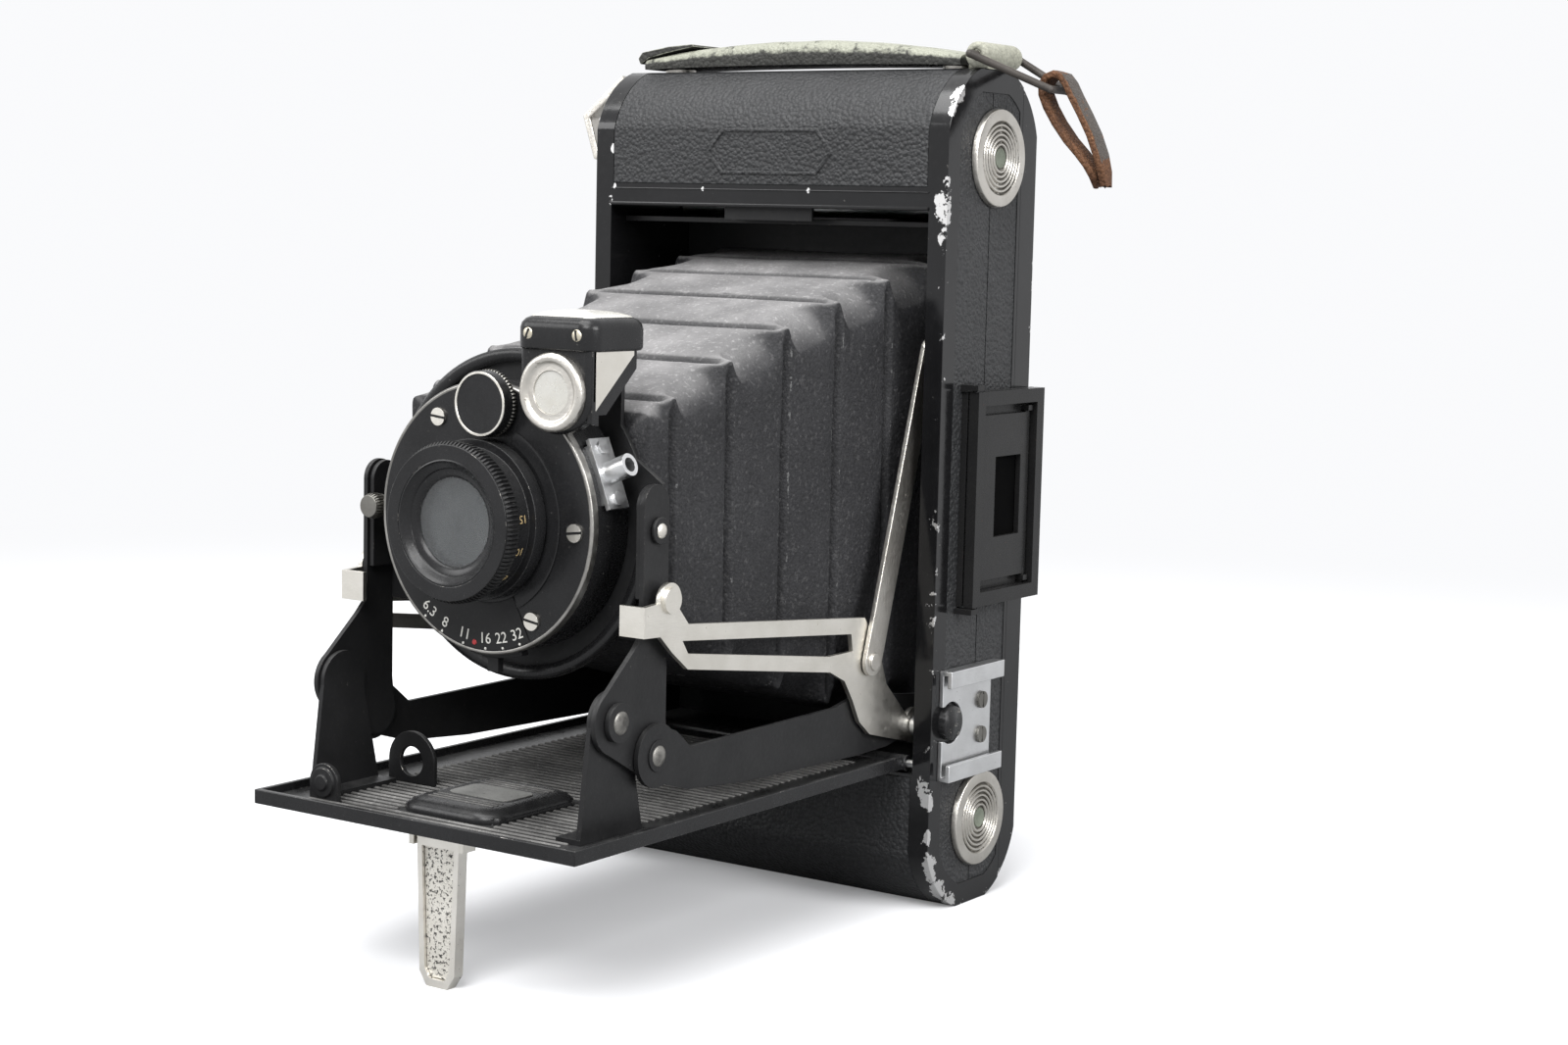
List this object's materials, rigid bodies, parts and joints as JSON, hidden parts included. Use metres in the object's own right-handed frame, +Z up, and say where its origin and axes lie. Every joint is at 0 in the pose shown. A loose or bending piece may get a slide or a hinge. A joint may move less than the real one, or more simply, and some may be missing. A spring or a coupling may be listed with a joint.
{
  "type": "folding roll-film camera",
  "caption": "Open folding roll-film camera with drop bed, self-erecting lens standard, tapered pleated bellows, leaf shutter, folding finders, hinged back and a bed stand.",
  "frame": {"origin": "centre of the flat at the bottom of the body, on which the camera stands", "axes": "+Z up, the lens looks along -Y, +X is on the right of someone facing the lens"},
  "size_m": [0.1194, 0.1308, 0.1617],
  "materials": {
    "enamel": "gloss black enamel, chipped at the edges",
    "leather": "pebbled black leather",
    "nickel": "worn satin nickel",
    "steel": "bare steel",
    "black_metal": "satin black",
    "bellows": "matte dark grey pleated leather",
    "strap": "worn dark leather",
    "thong": "brown torn leather",
    "brass": "turned brass",
    "glass": "dusty glass",
    "red_glass": "deep red"
  },
  "bodies": {
    "body": {"body_casing": "enamel", "end_leather": "leather", "side_leather": "leather", "film_gate": "black_metal", "spool_caps": "nickel", "supply_pins": "steel", "tripod_bush": "brass", "accessory_shoe": "steel", "shoe_screws": "steel", "finder_base": "black_metal", "bed_hinge_pin": "steel", "back_hinge_pin": "steel", "bed_latch": "steel", "wall_pivots": "steel", "bellows": "bellows", "handle_strap": "strap", "strap_posts": "nickel", "strap_barrel": "nickel"},
    "door": {"back_door": "enamel", "back_leather": "leather", "pressure_plate": "black_metal", "pressure_springs": "steel", "red_window": "red_glass"},
    "window_cover": {"window_cover": "black_metal"},
    "back_latch": {"back_latch": "nickel"},
    "bed": {"bed": "enamel", "bed_leather": "leather", "brackets": "black_metal", "finger_lug": "black_metal", "bed_catch": "black_metal", "stand_hanger": "nickel"},
    "kickstand": {"kickstand": "nickel"},
    "legs": {"legs": "black_metal"},
    "arms": {"arms": "black_metal"},
    "struts": {"struts": "nickel"},
    "links": {"links": "nickel"},
    "front": {"lens_board": "black_metal", "shutter_case": "black_metal", "shutter_face": "black_metal", "face_screws": "nickel", "cable_socket": "steel", "rear_cell": "black_metal", "rear_lens": "glass", "iris_blades": "black_metal"},
    "focus": {"focus_ring": "black_metal", "front_lens": "glass"},
    "speed_dial": {"speed_dial": "black_metal"},
    "aperture_lever": {"aperture_lever": "black_metal"},
    "release_lever": {"release_lever": "nickel"},
    "reflex": {"reflex_finder": "black_metal", "reflex_glass": "glass"},
    "bed_button": {"bed_button": "black_metal"},
    "finder_frame": {"finder_frame": "black_metal"},
    "finder_eyepiece": {"finder_eyepiece": "black_metal"},
    "winding_key": {"winding_key": "nickel", "takeup_spool": "black_metal"},
    "roller_top": {"roller_top": "steel"},
    "roller_bottom": {"roller_bottom": "steel"},
    "wire_loop": {"wire_loop": "steel"},
    "thong": {"leather_thong": "thong"}
  },
  "joints": [
    {"name": "bed_fold", "type": "hinge", "parent": "body", "child": "bed", "pos_m": [0, -0.0154, 0.0282], "axis": [-1, 0, 0], "range_deg": [0, 90], "deforming": ["bellows"]},
    {"name": "leg_fold", "type": "hinge", "parent": "bed", "child": "legs", "pos_m": [0, -0.0981, 0.0473], "axis": [-1, 0, 0], "range_deg": [0, 70.22]},
    {"name": "board_tilt", "type": "hinge", "parent": "legs", "child": "front", "pos_m": [0, -0.0878, 0.0772], "axis": [-1, 0, 0], "range_deg": [-160.22, 0]},
    {"name": "arm_fold", "type": "hinge", "parent": "legs", "child": "arms", "pos_m": [0, -0.0883, 0.0405], "axis": [-1, 0, 0], "range_deg": [-74.09, 0]},
    {"name": "strut_fold", "type": "hinge", "parent": "body", "child": "struts", "pos_m": [0, -0.0108, 0.0345], "axis": [-1, 0, 0], "range_deg": [0, 78.05]},
    {"name": "link_fold", "type": "hinge", "parent": "body", "child": "links", "pos_m": [0, -0.0103, 0.104], "axis": [-1, 0, 0], "range_deg": [-27.83, 0]},
    {"name": "stand_fold", "type": "hinge", "parent": "bed", "child": "kickstand", "pos_m": [0, -0.1048, 0.025], "axis": [1, 0, 0], "range_deg": [0, 90]},
    {"name": "focus_turn", "type": "hinge", "parent": "front", "child": "focus", "pos_m": [0, -0.1003, 0.0772], "axis": [0, -1, 0], "range_deg": [0, 250]},
    {"name": "speed_turn", "type": "hinge", "parent": "front", "child": "speed_dial", "pos_m": [0.0015, -0.0963, 0.0964], "axis": [0, -1, 0], "range_deg": [-120, 120]},
    {"name": "aperture_turn", "type": "hinge", "parent": "front", "child": "aperture_lever", "pos_m": [0, -0.092, 0.0772], "axis": [0, -1, 0], "range_deg": [-30, 27]},
    {"name": "release_press", "type": "hinge", "parent": "front", "child": "release_lever", "pos_m": [0, -0.0926, 0.0772], "axis": [0, -1, 0], "range_deg": [0, 10], "stiffness_Nm_per_rad": 0.01},
    {"name": "reflex_swivel", "type": "hinge", "parent": "front", "child": "reflex", "pos_m": [0.0185, -0.0883, 0.1025], "axis": [0, 1, 0], "range_deg": [0, 90]},
    {"name": "finder_frame_fold", "type": "hinge", "parent": "body", "child": "finder_frame", "pos_m": [0.0424, -0.0081, 0.07715], "axis": [0, 0, -1], "range_deg": [0, 90]},
    {"name": "finder_eyepiece_fold", "type": "hinge", "parent": "body", "child": "finder_eyepiece", "pos_m": [0.0419, 0.0119, 0.07715], "axis": [0, 0, 1], "range_deg": [0, 90]},
    {"name": "bed_button_press", "type": "slide", "parent": "body", "child": "bed_button", "axis": [-1, 0, 0], "range_m": [0, 0.0014], "stiffness_N_per_m": 200},
    {"name": "key_turn", "type": "hinge", "parent": "body", "child": "winding_key", "pos_m": [-0.041, 0.0011, 0.1396], "axis": [-1, 0, 0], "continuous": true},
    {"name": "roller_top_turn", "type": "hinge", "parent": "body", "child": "roller_top", "pos_m": [0, 0.0081, 0.1296], "axis": [1, 0, 0], "continuous": true},
    {"name": "roller_bottom_turn", "type": "hinge", "parent": "body", "child": "roller_bottom", "pos_m": [0, 0.0081, 0.0231], "axis": [1, 0, 0], "continuous": true},
    {"name": "back_door_open", "type": "hinge", "parent": "body", "child": "door", "pos_m": [0, 0.0111, 0.00143], "axis": [-1, 0, 0], "range_deg": [0, 100]},
    {"name": "window_cover_swing", "type": "hinge", "parent": "door", "child": "window_cover", "pos_m": [0.0094, 0.0167, 0.052], "axis": [0, 1, 0], "range_deg": [0, 100]},
    {"name": "back_latch_slide", "type": "slide", "parent": "door", "child": "back_latch", "axis": [1, 0, 0], "range_m": [0, 0.003]},
    {"name": "wire_loop_lift", "type": "hinge", "parent": "body", "child": "wire_loop", "pos_m": [0.0394, 0, 0.158], "axis": [0, -1, 0], "range_deg": [0, 110]},
    {"name": "thong_swing", "type": "hinge", "parent": "wire_loop", "child": "thong", "pos_m": [0.0512, 0.0032, 0.152], "axis": [0, -1, 0], "range_deg": [-30, 40]}
  ],
  "couplings": [
    {"joint": "leg_fold", "follows": "bed_fold", "ratio": 0.78},
    {"joint": "board_tilt", "follows": "bed_fold", "ratio": -1.78},
    {"joint": "arm_fold", "follows": "bed_fold", "ratio": -0.823},
    {"joint": "strut_fold", "follows": "bed_fold", "ratio": 0.867},
    {"joint": "link_fold", "follows": "bed_fold", "ratio": -0.309}
  ]
}
